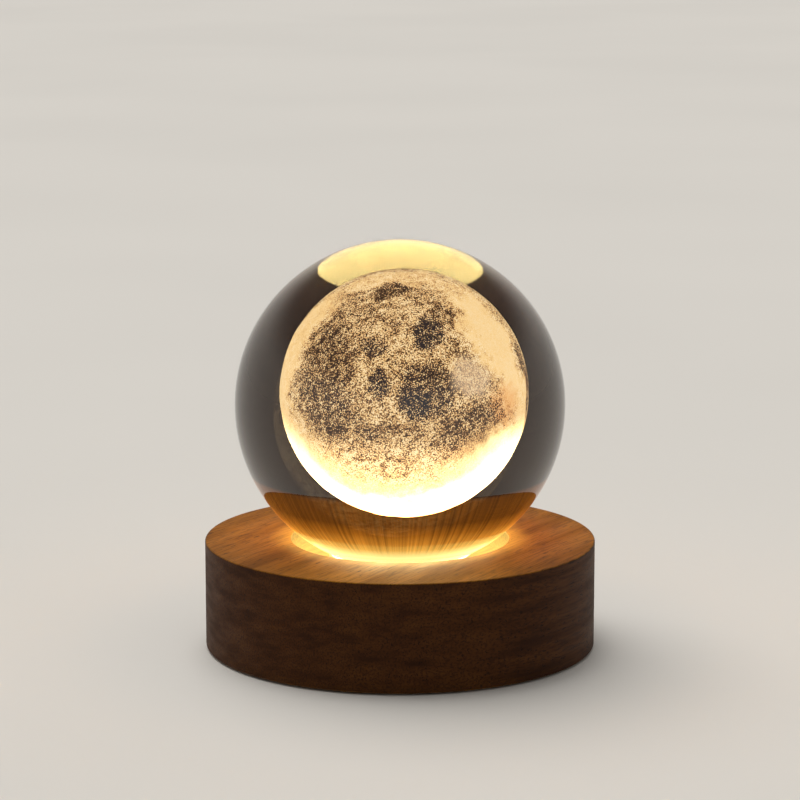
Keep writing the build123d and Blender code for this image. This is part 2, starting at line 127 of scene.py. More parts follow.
BLACK = tone(0, 0, 0)
WHITE = tone(255, 255, 255)


class Shader:
    """The node tree of a material, or of the world, while it is put together."""

    def __init__(self, name: str, world: bool = False) -> None:
        """Start an empty tree.

        Args:
            name: The name of the material or the world.
            world: Whether it is the world's.
        """
        self.owner = (bpy.data.worlds if world else bpy.data.materials).new(name)
        self.owner.use_nodes = True
        self.tree = self.owner.node_tree
        self.tree.nodes.clear()
        self.output = self.node("ShaderNodeOutputWorld" if world else "ShaderNodeOutputMaterial")
        self.place = self.node("ShaderNodeTexCoord").outputs["Generated" if world else "Object"]

    def node(self, kind: str, inputs: dict | None = None, **settings: object) -> bpy.types.Node:
        """Add a node.

        Args:
            kind: The node's type name.
            inputs: Values or sockets for its inputs, by name or number.
            settings: Other properties of the node.

        Returns:
            The new node.
        """
        made = self.tree.nodes.new(kind)
        for key, value in settings.items():
            setattr(made, key, value)
        for key, value in (inputs or {}).items():
            self.feed(made.inputs[key], value)
        return made

    def feed(self, socket: Socket, value: Value) -> None:
        """Set an input, or link it where the value is a socket.

        Args:
            socket: The input.
            value: A number, a tuple or another node's output.
        """
        if isinstance(value, Socket):
            self.tree.links.new(value, socket)
        else:
            socket.default_value = value

    def math(self, op: Op, *numbers: Value, clamp: bool = False) -> Socket:
        """Work out a sum, from left to right.

        Args:
            op: Which sum.
            numbers: Its numbers: one for a size, two for a power, two or more for the others.
            clamp: Whether the result is kept from 0 to 1.

        Returns:
            The result's socket.
        """
        result = numbers[0]
        for number in numbers[1:] or (0.0,):
            made = self.node("ShaderNodeMath", {0: result, 1: number}, operation=op.value)
            result = made.outputs[0]
        made.use_clamp = clamp
        return result

    def span(self, value: Value, low: float, high: float, start: float = 0.0, end: float = 1.0,
             smooth: bool = True) -> Socket:
        """Map a number from one span to another and keep it inside.

        Args:
            value: The number.
            low: Where the first span starts.
            high: Where the first span ends.
            start: What low becomes.
            end: What high becomes.
            smooth: Whether the change eases in and out.

        Returns:
            The mapped number's socket.
        """
        kind = "SMOOTHSTEP" if smooth else "LINEAR"
        inputs = {"Value": value, "From Min": low, "From Max": high, "To Min": start, "To Max": end}
        return self.node("ShaderNodeMapRange", inputs, interpolation_type=kind).outputs["Result"]

    def times(self, *factors: Value) -> Socket:
        """The product of two or more numbers."""
        return self.math(Op.MULTIPLY, *factors)

    def stretched(self, vector: Socket, scale: tuple[float, float, float]) -> Socket:
        """A vector with each of its three parts multiplied by its own number."""
        return self.node("ShaderNodeMapping", {"Vector": vector, "Scale": scale}).outputs[0]

    def turned(self, vector: Socket, degrees: float, axis: int = 2) -> Socket:
        """Turn a vector about an axis.

        Args:
            vector: The vector, such as the Object coordinates.
            degrees: The turn.
            axis: The axis that it is turned about: 0 for X, 1 for Y and 2 for Z.

        Returns:
            The new vector's socket.
        """
        angles = [0.0, 0.0, 0.0]
        angles[axis] = math.radians(degrees)
        inputs = {"Vector": vector, "Rotation": tuple(angles)}
        return self.node("ShaderNodeMapping", inputs).outputs[0]

    def noise(self, vector: Socket, scale: float = 1.0, detail: float = 2.0,
              rough: float = 0.5) -> Socket:
        """Soft values about 0.5, scale waves to a unit, with finer layers of a rough strength."""
        inputs = {"Vector": vector, "Scale": scale, "Detail": detail, "Roughness": rough}
        return self.node("ShaderNodeTexNoise", inputs).outputs[0]

    def cells(self, vector: Socket, scale: float) -> Socket:
        """The distance to the middle of the nearest random cell, with scale cells to a unit."""
        inputs = {"Vector": vector, "Scale": scale}
        return self.node("ShaderNodeTexVoronoi", inputs).outputs["Distance"]

    def ramp(self, value: Value, *stops: tuple[float, Colour]) -> Socket:
        """Turn a number into a colour.

        Args:
            value: The number, from 0 to 1.
            stops: Places and the colours there.

        Returns:
            The colour's socket.
        """
        made = self.node("ShaderNodeValToRGB", {0: value})
        points = made.color_ramp.elements
        while len(points) < len(stops):
            points.new(1.0)
        for point, (place, colour) in zip(points, stops):
            point.position = place
            point.color = colour
        return made.outputs[0]

    def mix(self, share: Value, first: Value, second: Value, blend: Blend = Blend.PLAIN) -> Socket:
        """Lay one colour over another.

        Args:
            share: How much of the second shows.
            first: The colour below.
            second: The colour above.
            blend: How they meet.

        Returns:
            The mixed colour's socket.
        """
        settings = {"data_type": "RGBA", "blend_type": blend.value, "clamp_factor": True}
        inputs = {0: share, 6: first, 7: second}
        return self.node("ShaderNodeMix", inputs, **settings).outputs[2]

    def attribute(self, name: str) -> Socket:
        """A number that the mesh keeps at each of its points."""
        return self.node("ShaderNodeAttribute", attribute_name=name).outputs["Fac"]

    def axes(self, vector: Socket | None = None) -> tuple[Socket, Socket, Socket]:
        """The three parts of a vector, or of the place on the object."""
        made = self.node("ShaderNodeSeparateXYZ", {0: vector or self.place})
        return made.outputs[0], made.outputs[1], made.outputs[2]

    def level_place(self) -> Socket:
        """The place on the object with its height left out."""
        return self.stretched(self.place, (1.0, 1.0, 0.0))

    def radius(self) -> Socket:
        """Distance from the lamp's axis."""
        inputs = {0: self.level_place()}
        return self.node("ShaderNodeVectorMath", inputs, operation="LENGTH").outputs["Value"]

    def light_path(self, output: str) -> Socket:
        """What is known about the ray that looks at the surface."""
        return self.node("ShaderNodeLightPath").outputs[output]

    def mirrored(self) -> Socket:
        """1 for a ray that the glass has mirrored on its way, and 0 for one that sees plainly."""
        return self.math(Op.GREATER, self.light_path("Ray Depth"), PLAIN_BOUNCES)

    def bump(self, height: Value, depth: float, strength: float = 1.0) -> Socket:
        """A normal from heights from 0 to 1, of which 1 stands for the depth in metres."""
        inputs = {"Height": height, "Distance": depth, "Strength": strength}
        return self.node("ShaderNodeBump", inputs).outputs[0]

    def show(self, made: bpy.types.Node) -> bpy.types.Node:
        """Send a shader to the output, and hand it back."""
        self.tree.links.new(made.outputs[0], self.output.inputs["Surface"])
        return made

    def surface(self, inputs: dict) -> bpy.types.Node:
        """Add the Principled shader with these inputs by name, and send it to the output."""
        return self.show(self.node("ShaderNodeBsdfPrincipled", inputs))


@dataclass(frozen=True)
class BallGlass:
    """Clear crystal, darkened in its body by a tint that is painted shade for the dark room seen
    through it, with a painted glow round its foot.

    Tints and glows are bands by height, from 0 at the foot to 1 at the glow's top. The amber tint of
    the lower band is painted warmth of the lit wood seen there, and goes with the painted glow.
    """

    # Painted shade: this dark tint stands in for the dark room seen through the clear crystal.
    dark_room_tint: Colour = tone(58, 46, 38)
    amber: Colour = tone(80, 46, 20)
    clear: Colour = tone(226, 220, 206)
    let_through: Colour = (0.17, 0.12, 0.065, 1.0)
    ior: float = 1.52
    foot: float = 19.4 * MM
    glow_top: float = 43.4 * MM
    # Clear at the foot, amber in the lower band as painted warmth of the lit wood, dark above as
    # painted shade.
    tints: Stops = ((0.0, clear), (0.30, clear), (0.46, amber), (0.93, amber), (1.0, dark_room_tint))
    # Painted glow: emission colours by height round the foot, standing in for the lamp's light
    # there.
    glows: Stops = (
        (0.0, tone(120, 80, 24)),
        (0.17, tone(150, 96, 28)),
        (0.24, tone(238, 204, 124)),
        (0.30, tone(250, 226, 144)),
        (0.35, tone(238, 202, 112)),
        (0.41, tone(214, 154, 58)),
        (0.50, tone(184, 116, 34)),
        (0.60, tone(146, 84, 18)),
        (0.72, tone(92, 50, 8)),
        (0.96, tone(80, 42, 6)),
        (1.0, BLACK),
    )
    streaks: float = 34.0
    streak_light: tuple[float, float] = (0.5, 1.3)
    streaked_from: tuple[float, float] = (0.30, 0.50)

    def material(self) -> bpy.types.Material:
        """Glass whose foot carries a painted glow, and which lets lamps through to what is inside.

        The glow is painted light: emission on the glass that stands in for the recess's light and
        the lit wood seen in the foot.
        It is yellow-white down in the recess and amber above it, in fine streaks that run up the
        glass, which are noise on the direction from the axis. Light that passes on its way to other
        pieces is cut and warmed.

        Returns:
            The material.
        """
        shader = Shader("clear_glass")
        rise = shader.span(shader.axes()[2], self.foot, self.glow_top, smooth=False)
        level = {0: shader.level_place()}
        around = shader.node("ShaderNodeVectorMath", level, operation="NORMALIZE").outputs[0]
        fine = shader.noise(around, self.streaks, detail=4.0, rough=0.7)
        streak = shader.span(fine, *NOISE_SPAN, *self.streak_light)
        streak = shader.mix(shader.span(rise, *self.streaked_from), WHITE, streak)
        # The painted glow, streaked.
        glow = shader.mix(1.0, shader.ramp(rise, *self.glows), streak, Blend.MULTIPLY)
        glass = shader.surface({
            "Base Color": shader.ramp(rise, *self.tints),
            "Roughness": 0.0,
            "IOR": self.ior,
            "Transmission Weight": 1.0,
            "Emission Color": glow,
            "Emission Strength": 1.0,
        })
        through = shader.node("ShaderNodeBsdfTransparent", {"Color": self.let_through})
        shader.show(shader.node("ShaderNodeMixShader", {
            0: shader.light_path("Is Shadow Ray"),
            1: glass.outputs[0],
            2: through.outputs[0],
        }))
        return shader.owner


@dataclass(frozen=True)
class MoonEngraving:
    """Layer of fine engraved dots that catches the light from below."""

    white: Colour = tone(255, 240, 200)
    cream: Colour = tone(250, 216, 152)
    tan: Colour = tone(206, 164, 110)
    brown: Colour = tone(124, 87, 56)
    umber: Colour = tone(56, 37, 22)
    slate: Colour = tone(92, 82, 76)
    cool: Colour = tone(34, 32, 38)
    haze: Colour = tone(222, 200, 172)
    rust: Colour = tone(240, 196, 150)
    through_glass: Colour = tone(234, 248, 255)
    # Painted light: the emission's strength, and how many times stronger it is on the lower side lit
    # from below.
    gain: float = 5.9
    painted_underlight: float = 7.0
    soft_waves: float = 4000.0
    soft_share: float = 0.70
    dots: float = 3300.0
    dot_share: float = 0.34
    clump_waves: float = 760.0
    clump_share: float = 0.45
    stroke_waves: tuple[float, float, float] = (240.0, 900.0, 1300.0)
    stroke_share: float = 0.55
    stroke_turn: float = 35.0
    coarse_share: float = 0.5
    levels: tuple[float, float] = (0.12, 0.98)
    spreads: tuple[float, float] = (3.3, 0.3)
    sea_spread: Range = (0.3, 0.8, 1.0, 1.5)
    pale_tones: Stops = ((0.0, white), (0.2, cream), (0.42, tan))
    warm_tones: Stops = (*pale_tones, (0.62, brown), (0.85, umber))
    cold_tones: Stops = (*pale_tones, (0.62, slate), (0.85, cool))
    unlit: float = 0.75

    def material(self) -> bpy.types.Material:
        """Cream ground, granular dark plains and a lower side made brighter by painted light.

        The mesh keeps how dark, how cool and how hazy each place is. Fine noise and coarser
        strokes are added to the darkness, more of both where it is dark and less where painted light
        washes the grains out, and the sum is turned into a colour, so that single grains stand out.
        The moon's light is painted: emission that stands in for the lamp's light caught by the dots.

        Returns:
            The material.
        """
        shader = Shader("engraved_glass")
        place = shader.place
        sea = shader.attribute("sea_depth")
        washed_out = shader.attribute("washed_out")
        soft = shader.noise(place, self.soft_waves, detail=1.5, rough=0.6)
        dots = shader.cells(place, self.dots)
        soft, dots = shader.times(soft, self.soft_share), shader.times(dots, self.dot_share)
        grains = shader.math(Op.ADD, soft, dots)
        strokes = shader.turned(place, self.stroke_turn, axis=1)
        strokes = shader.noise(shader.stretched(strokes, self.stroke_waves))
        clumps = shader.noise(place, self.clump_waves, rough=0.6)
        clumps = shader.times(clumps, self.clump_share)
        strokes = shader.times(strokes, self.stroke_share)
        clumps = shader.math(Op.ADD, clumps, strokes)
        spread = shader.times(
            shader.span(washed_out, 0.0, 1.0, *self.spreads, smooth=False),
            shader.span(sea, *self.sea_spread),
        )
        fine = shader.times(shader.math(Op.SUBTRACT, grains, 0.5), spread)
        coarse = shader.math(Op.SUBTRACT, clumps, 0.5)
        coarse = shader.times(coarse, spread, self.coarse_share)
        level = shader.span(sea, 0.0, 1.0, *self.levels, smooth=False)
        level = shader.math(Op.ADD, level, fine, coarse, clamp=True)
        warm = shader.ramp(level, *self.warm_tones)
        cold = shader.ramp(level, *self.cold_tones)
        shown = shader.mix(shader.attribute("coolness"), warm, cold)
        shown = shader.mix(shader.attribute("rust"), shown, self.rust, Blend.MULTIPLY)
        shown = shader.mix(shader.attribute("haze"), shown, self.haze)
        # Painted light from below on the lower side.
        painted_underlight = shader.span(shader.attribute("painted_underlight"), 0.0, 1.0, 1.0, self.painted_underlight, smooth=False)
        shader.surface({
            "Base Color": shader.mix(self.unlit, shown, BLACK),
            "Roughness": 0.6,
            "Emission Color": shader.mix(1.0, shown, self.through_glass, Blend.MULTIPLY),
            "Emission Strength": shader.times(painted_underlight, self.gain),
            "Normal": shader.bump(grains, 0.04 * MM, 0.5),
        })
        return shader.owner


@dataclass(frozen=True)
class Beech:
    """Sanded beech: straight fine fibres, short dark flecks and a thin matt oil.

    Waves are to a metre: along the grain, across it and upwards. The upright side wall is darkened
    by painted shade, and the recess and the top round it carry painted lamp light.
    """

    light: Colour = tone(148, 100, 27)
    ground: Colour = tone(130, 84, 21)
    dark: Colour = tone(92, 55, 14)
    fleck: Colour = tone(54, 29, 11)
    # Painted shade: the darker brown laid over the same wood on the upright side wall.
    edge: Colour = tone(94, 45, 20)
    # Painted light: the recess glow, and the light that the recess wall gives only to rays that the
    # ball has mirrored, for the yellow cap.
    glow: Colour = tone(255, 204, 100)
    painted_cap_light: Colour = tone(255, 252, 180)
    ring_tones: Stops = ((0.30, light), (0.5, ground), (0.72, dark))
    grain_angle: float = 58.0
    warp_waves: float = 22.0
    warp_light: Range = (0.35, 0.7, 0.0, 0.35)
    bend: float = 0.0022
    bend_waves: float = 30.0
    ring_waves: tuple[float, float, float] = (12.0, 150.0, 420.0)
    fibre_waves: tuple[float, float, float] = (110.0, 2300.0, 2300.0)
    fibre_dark: Range = (0.42, 0.66, 0.0, 0.75)
    fleck_waves: tuple[float, float, float] = (260.0, 2700.0, 2400.0)
    flecked: tuple[float, float] = (0.63, 0.69)
    fleck_share: float = 0.75
    # Where the painted shade on the upright side wall reaches, and how strong it is.
    outside: tuple[float, float] = (44.0 * MM, 46.5 * MM)
    side_shade_share: float = 0.82
    top: float = 26.5 * MM
    recess_radius: float = 26.5 * MM
    recess_floor: float = 20.67 * MM
    below_floor: tuple[float, float] = (18.0 * MM, 20.0 * MM)
    # Painted light: how far it spills over the top, and its strengths on the top, the recess floor,
    # the rim and, for mirrored rays, the wall.
    spill_width: float = 8.0 * MM
    painted_spill_gain: float = 0.26
    floor_gain: float = 1.25
    rim_gain: float = 0.72
    painted_cap_gain: float = 80.0

    def material(self) -> bpy.types.Material:
        """Wood whose grain runs straight through the disc, round a recess lit by painted light.

        The grain is noise stretched along one level direction, so the turned wall shows long grain
        on two sides and end grain on the other two. The upright outer wall is multiplied by a darker
        brown as painted shade.

        Returns:
            The material.
        """
        shader = Shader("beech_wood")
        along = shader.turned(shader.place, -self.grain_angle)
        warp = shader.noise(along, self.warp_waves)
        inputs = {"Vector": along, "Scale": self.bend_waves}
        colours = shader.node("ShaderNodeTexNoise", inputs).outputs[1]
        bent = shader.mix(self.bend, along, colours, Blend.ADD)
        rings = shader.noise(shader.stretched(bent, self.ring_waves), detail=3.0)
        fibres = shader.noise(shader.stretched(bent, self.fibre_waves))
        flecks = shader.noise(shader.stretched(bent, self.fleck_waves), detail=1.0)
        mark = shader.span(flecks, *self.flecked)
        ground = shader.ramp(rings, *self.ring_tones)
        ground = shader.mix(shader.span(warp, *self.warp_light), ground, self.light)
        ground = shader.mix(shader.span(fibres, *self.fibre_dark), ground, self.dark)
        ground = shader.mix(shader.times(mark, self.fleck_share), ground, self.fleck)
        # Painted shade on the upright outer wall.
        normal = shader.node("ShaderNodeNewGeometry").outputs["Normal"]
        upright = shader.span(shader.math(Op.ABSOLUTE, shader.axes(normal)[2]), 0.35, 0.8, 1.0, 0.0)
        outside = shader.span(shader.radius(), *self.outside)
        side = shader.times(upright, outside, self.side_shade_share)
        ground = shader.mix(side, ground, self.edge, Blend.MULTIPLY)
        recess, light, strength = self.lamp_light(shader, ground, fibres)
        relief = shader.math(Op.SUBTRACT, shader.times(fibres, 0.35), shader.times(mark, 0.65))
        # In the recess the wood's own colour is mostly taken away and the painted lamp light shows
        # instead.
        shader.surface({
            "Base Color": shader.mix(shader.times(recess, 0.9), ground, BLACK),
            "Roughness": shader.span(rings, 0.2, 0.8, 0.52, 0.66),
            "Specular IOR Level": 0.12,
            "Emission Color": light,
            "Emission Strength": strength,
            "Normal": shader.bump(relief, 0.05 * MM, 0.7),
        })
        return shader.owner

    def lamp_light(self, shader: Shader, ground: Socket,
                   fibres: Socket) -> tuple[Socket, Socket, Socket]:
        """The lamp's light in the recess and on the wood round it, painted on the wood as emission.

        The recess is golden, brighter towards its floor, and the painted light that spills out of it
        fades over the top. To rays that the ball has mirrored, the recess wall gives its full
        painted light, which shows as the yellow cap at the ball's top.

        Args:
            shader: The tree.
            ground: The wood's colour.
            fibres: The wood's fibres, about 0.5.

        Returns:
            Where the recess is, the light's colour and its strength.
        """
        radius, height = shader.radius(), shader.axes()[2]
        hair = 0.1 * MM
        rim, floor = self.recess_radius, self.recess_floor
        spill = shader.span(radius, rim, rim + self.spill_width, 1.0, 0.0)
        on_top = shader.span(height, self.top - 9 * hair, self.top - 3 * hair)
        spill = shader.times(shader.math(Op.POWER, spill, 1.6), self.painted_spill_gain, on_top)
        inside = shader.span(radius, rim + 2 * hair, rim + hair)
        wall = shader.times(
            shader.span(radius, rim - 4 * hair, rim - 2 * hair),
            inside,
            shader.span(height, floor + hair, floor + 5 * hair),
        )
        recess = shader.times(inside, shader.span(height, *self.below_floor))
        recess = shader.math(Op.MAXIMUM, recess, wall)
        # Painted cap light, seen only by rays that the ball has mirrored.
        mirrored = shader.times(wall, shader.mirrored())
        shade = shader.times(
            shader.span(height, floor, self.top, self.floor_gain, self.rim_gain),
            shader.span(fibres, *NOISE_SPAN, 1.12, 0.88),
        )
        full = shader.times(mirrored, self.painted_cap_gain)
        strength = shader.math(Op.MAXIMUM, spill, full, shader.times(recess, shade))
        light = shader.mix(mirrored, self.glow, self.painted_cap_light)
        light = shader.mix(shader.span(recess, 0.0, 1.0, 0.5, 0.9), ground, light)
        return recess, light, strength


@dataclass(frozen=True)
class Glowing:
    """Milky plastic or silicone that is lit from inside.

    A piece with a mirrored gain gives that much more to rays that the ball has mirrored, and
    gives its light only inside its lit radius. That extra light is painted light, which shows as the
    yellow cap at the ball's top.
    """

    name: str
    colour: Colour
    light: Colour
    gain: float
    rough: float = 0.35
    painted_cap_boost: float = 0.0
    lit_radius: float = 0.0
    cloud_waves: float = 260.0
    fine_waves: float = 1800.0

    def material(self) -> bpy.types.Material:
        """Milky ground with a faint cloudiness, giving off warm light.

        Returns:
            The material.
        """
        shader = Shader(self.name)
        cloud = shader.noise(shader.place, self.cloud_waves, detail=3.0)
        strength = self.gain
        # Painted cap light for rays that the ball has mirrored.
        if self.painted_cap_boost:
            edge = self.lit_radius + 0.1 * MM
            lit = shader.span(shader.radius(), self.lit_radius, edge, 1.0, 0.04)
            more = shader.times(shader.mirrored(), self.painted_cap_boost)
            strength = shader.times(shader.math(Op.ADD, more, self.gain), lit)
        milk = shader.span(cloud, *NOISE_SPAN, 0.0, 0.25)
        shader.surface({
            "Base Color": shader.mix(milk, self.colour, self.light),
            "Roughness": shader.span(cloud, 0.2, 0.8, self.rough - 0.05, self.rough + 0.08),
            "Emission Color": self.light,
            "Emission Strength": strength,
            "Normal": shader.bump(shader.noise(shader.place, self.fine_waves), 0.01 * MM, 0.4),
        })
        return shader.owner


@dataclass(frozen=True)
class Moulded:
    """Plastic, rubber, ceramic or foam with a fine even texture."""

    name: str
    colour: Colour
    second: Colour
    rough: float = 0.5
    texture: float = 2400.0
    depth: float = 0.02 * MM
    cloud_waves: float = 140.0

    def material(self) -> bpy.types.Material:
        """Two close tones in soft clouds, over a fine grain.

        Returns:
            The material.
        """
        shader = Shader(self.name)
        cloud = shader.noise(shader.place, self.cloud_waves, detail=3.0)
        grain = shader.noise(shader.place, self.texture, rough=0.6)
        shader.surface({
            "Base Color": shader.mix(shader.span(cloud, *NOISE_SPAN), self.colour, self.second),
            "Roughness": shader.span(grain, *NOISE_SPAN, self.rough - 0.07, self.rough + 0.07),
            "Normal": shader.bump(grain, self.depth, 0.6),
        })
        return shader.owner


@dataclass(frozen=True)
class Plated:
    """Drawn or plated metal with fine brush marks."""

    name: str
    colour: Colour
    second: Colour
    rough: float = 0.3
    brush: tuple[float, float, float] = (300.0, 300.0, 4200.0)
    cloud_waves: float = 500.0

    def material(self) -> bpy.types.Material:
        """Metal whose tone and roughness vary along fine marks.

        Returns:
            The material.
        """
        shader = Shader(self.name)
        marks = shader.noise(shader.stretched(shader.place, self.brush))
        cloud = shader.noise(shader.place, self.cloud_waves)
        shader.surface({
            "Base Color": shader.mix(shader.span(cloud, *NOISE_SPAN), self.colour, self.second),
            "Metallic": 1.0,
            "Roughness": shader.span(marks, *NOISE_SPAN, self.rough - 0.08, self.rough + 0.1),
            "Normal": shader.bump(marks, 0.006 * MM, 0.5),
        })
        return shader.owner


@dataclass(frozen=True)
class Board:
    """Circuit board under a coloured coating, with faint copper tracks."""

    name: str
    colour: Colour
    track: Colour
    pitch: float = 900.0
    cloud_waves: float = 300.0

    def material(self) -> bpy.types.Material:
        """Coating over a net of straight tracks, drawn by square cells.

        Returns:
            The material.
        """
        shader = Shader(self.name)
        inputs = {"Vector": shader.place, "Scale": self.pitch, "Randomness": 0.55}
        cells = shader.node("ShaderNodeTexVoronoi", inputs, distance="CHEBYCHEV")
        track = shader.span(cells.outputs["Distance"], 0.40, 0.46)
        cloud = shader.noise(shader.place, self.cloud_waves)
        shader.surface({
            "Base Color": shader.mix(shader.times(track, 0.5), self.colour, self.track),
            "Roughness": shader.span(cloud, *NOISE_SPAN, 0.28, 0.42),
            "Normal": shader.bump(track, 0.02 * MM, 0.6),
        })
        return shader.owner


@dataclass(frozen=True)
class ClearRod:
    """Clear moulded rod."""

    name: str = "clear_plastic"
    tint: Colour = tone(240, 246, 246)
    flow: tuple[float, float, float] = (1500.0, 200.0, 1500.0)

    def material(self) -> bpy.types.Material:
        """Clear plastic with faint flow marks.

        Returns:
            The material.
        """
        shader = Shader(self.name)
        flow = shader.noise(shader.stretched(shader.place, self.flow))
        shader.surface({
            "Base Color": self.tint,
            "Roughness": shader.span(flow, *NOISE_SPAN, 0.04, 0.12),
            "IOR": 1.49,
            "Transmission Weight": 1.0,
        })
        return shader.owner


@dataclass(frozen=True)
class FloorPaint:
    """Plain pale ground that the lamp stands on."""

    colour: Colour = tone(213, 208, 200)
    duller: float = 0.97
    cloud_waves: float = 3.0

    def material(self) -> bpy.types.Material:
        """Even matt paint.

        Returns:
            The material.
        """
        shader = Shader("studio_floor")
        cloud = shader.noise(shader.place, self.cloud_waves)
        second = (*(self.duller * part for part in self.colour[:3]), 1.0)
        shader.surface({
            "Base Color": shader.mix(shader.span(cloud, *NOISE_SPAN), self.colour, second),
            "Roughness": 0.85,
        })
        return shader.owner


def unit(vectors: np.ndarray) -> np.ndarray:
    """Each row divided by its own length."""
    return vectors / np.linalg.norm(vectors, axis=1, keepdims=True)


def direction(longitude: float, latitude: float) -> np.ndarray:
    """The direction at a longitude and latitude in degrees, with longitude 0 at the front."""
    lon, lat = np.radians([longitude, latitude])
    return np.array([math.cos(lat) * math.sin(lon), -math.cos(lat) * math.cos(lon), math.sin(lat)])


def degrees_apart(ways: np.ndarray, way: np.ndarray) -> np.ndarray:
    """The angle from each direction to one direction: the inverse cosine of their product."""
    return np.degrees(np.arccos(np.clip(ways @ way, -1, 1)))


def grid_squares(corner: np.ndarray) -> np.ndarray:
    """The squares between a grid's corner indices, as rows of four."""
    square = [corner[:-1, :-1], corner[1:, :-1], corner[1:, 1:], corner[:-1, 1:]]
    return np.stack(square, -1).reshape(-1, 4)


def cube_sphere(steps: int) -> tuple[np.ndarray, np.ndarray]:
    """Spread directions evenly over a ball.

    Each of a cube's six faces gets a square grid whose lines stand at the tangents of even
    angles, and each grid corner is divided by its own length, which brings it to distance 1.
    Corners that two faces share are merged.

    Args:
        steps: Squares along a face's side.

    Returns:
        The directions, one a row, and the squares as rows of four indices, facing outwards.
    """
    line = np.tan(np.linspace(-math.pi / 4, math.pi / 4, steps + 1))
    first, second = np.meshgrid(line, line, indexing="ij")
    corner = np.arange((steps + 1) ** 2).reshape(steps + 1, steps + 1)
    square = grid_squares(corner)
    points, squares = [], []
    for axis in range(3):
        for side in (-1, 1):
            face = np.empty((*first.shape, 3))
            face[..., axis] = side
            face[..., (axis + 1) % 3] = side * first
            face[..., (axis + 2) % 3] = second
            squares.append(square + len(points) * corner.size)
            points.append(face.reshape(-1, 3))
    every = unit(np.vstack(points))
    _, keep, place = np.unique(np.round(every, 6), axis=0, return_index=True, return_inverse=True)
    return every[keep], place.reshape(-1)[np.vstack(squares)]


def coil(low: np.ndarray, high: np.ndarray, wire: float, turns: int, steps: int,
         sides: int) -> tuple[np.ndarray, np.ndarray]:
    """Round wire wound on a helix that fills a box along Y.

    The wire's middle line goes round the box's middle at an even rate while it moves along Y.
    Round each of its points stands a circle, spanned by the way out from the middle and by the
    cross product of the line's own way with it. The circles at both ends are closed by a fan.

    Args:
        low: The box's lowest corner.
        high: Its highest corner.
        wire: The wire's diameter.
        turns: How often it goes round.
        steps: Circles to a turn.
        sides: Corners of a circle, an even number.

    Returns:
        The corners, one a row, and rows of four indices, facing outwards.
    """
    angle = np.linspace(0, 2 * math.pi * turns, steps * turns + 1)
    radius = (high[0] - low[0] - wire) / 2
    out = np.stack([np.cos(angle), np.zeros_like(angle), np.sin(angle)], 1)
    line = (low + high) / 2 + radius * out
    line[:, 1] = np.linspace(low[1] + wire / 2, high[1] - wire / 2, len(angle))
    along = np.gradient(line, axis=0)
    along = unit(along - (along * out).sum(1, keepdims=True) * out)
    beside = np.cross(along, out)
    around = np.linspace(0, 2 * math.pi, sides, endpoint=False)[None, :, None]
    circles = np.cos(around) * out[:, None] + np.sin(around) * beside[:, None]
    rings = line[:, None] + wire / 2 * circles
    corner = np.arange(len(angle) * sides).reshape(len(angle), sides)
    next_corner = np.roll(corner, -1, axis=1)
    tube = np.stack([corner[:-1], next_corner[:-1], next_corner[1:], corner[1:]], -1).reshape(-1, 4)
    even = np.arange(0, sides, 2)
    third = (even + 2) % sides
    middle = np.full_like(even, corner.size)
    start = np.stack([middle, corner[0, third], corner[0, even + 1], corner[0, even]], 1)
    end = np.stack([middle + 1, corner[-1, even], corner[-1, even + 1], corner[-1, third]], 1)
    return np.vstack([rings.reshape(-1, 3), line[:1], line[-1:]]), np.vstack([tube, start, end])


def wave_noise(points: np.ndarray, waves_across: float, seed: int, count: int = 36) -> np.ndarray:
    """Smooth random heights at points in space.

    The height is the sum of many plane cosine waves of like length, each with a random direction
    and phase, divided by the root of half their count so that it spreads about 0 by about 1.

    Args:
        points: One point a row, on a ball of radius 1.
        waves_across: Waves along a length of 1.
        seed: Start of the random draw.
        count: How many waves are added up.

    Returns:
        One height a point.
    """
    draw = np.random.default_rng(seed)
    ways = draw.normal(size=(3, count))
    ways /= np.linalg.norm(ways, axis=0)
    lengths = waves_across * draw.uniform(0.6, 1.5, count) * 2 * math.pi
    phases = draw.uniform(0, 2 * math.pi, count)
    return np.cos(points @ (ways * lengths) + phases).sum(1) / math.sqrt(count / 2)


def ease(value: np.ndarray, low: float, high: float) -> np.ndarray:
    """Rise from 0 at low to 1 at high by three times the square less twice the cube."""
    share = np.clip((value - low) / (high - low), 0, 1)
    return share * share * (3 - 2 * share)


def make_object(name: str, points: np.ndarray, faces: np.ndarray,
                finish: Finish) -> bpy.types.Object:
    """Make an object at the origin from arrays, and dress it.

    Args:
        name: The object's name.
        points: One corner a row, in metres.
        faces: Rows of corner indices.
        finish: What it is made of.

    Returns:
        The new object.
    """
    mesh = bpy.data.meshes.new(name)
    mesh.from_pydata(points.tolist(), [], faces.tolist())
    mesh.materials.append(finish.material())
    made = bpy.data.objects.new(name, mesh)
    bpy.context.scene.collection.objects.link(made)
    return made


def stand_for(piece: bpy.types.Object, node: str, body: Body) -> None:
    """Smooth a piece and let it take the place of a CAD node.

    Args:
        piece: The piece.
        node: The CAD node that it stands for.
        body: The CAD body that it rides on.
    """
    polygons = piece.data.polygons
    polygons.foreach_set("use_smooth", np.ones(len(polygons), bool))
    piece.data.update()
    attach(piece, body.value)
    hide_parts(node)
    LOG.info("%s: %d faces on %s", piece.name, len(polygons), body.value)


def keep_values(piece: bpy.types.Object, name: str, values: np.ndarray) -> None:
    """Store one number for each corner of a mesh, under the name that its material reads."""
    layer = piece.data.attributes.new(name, "FLOAT", "POINT")
    layer.data.foreach_set("value", values.astype(np.float32))


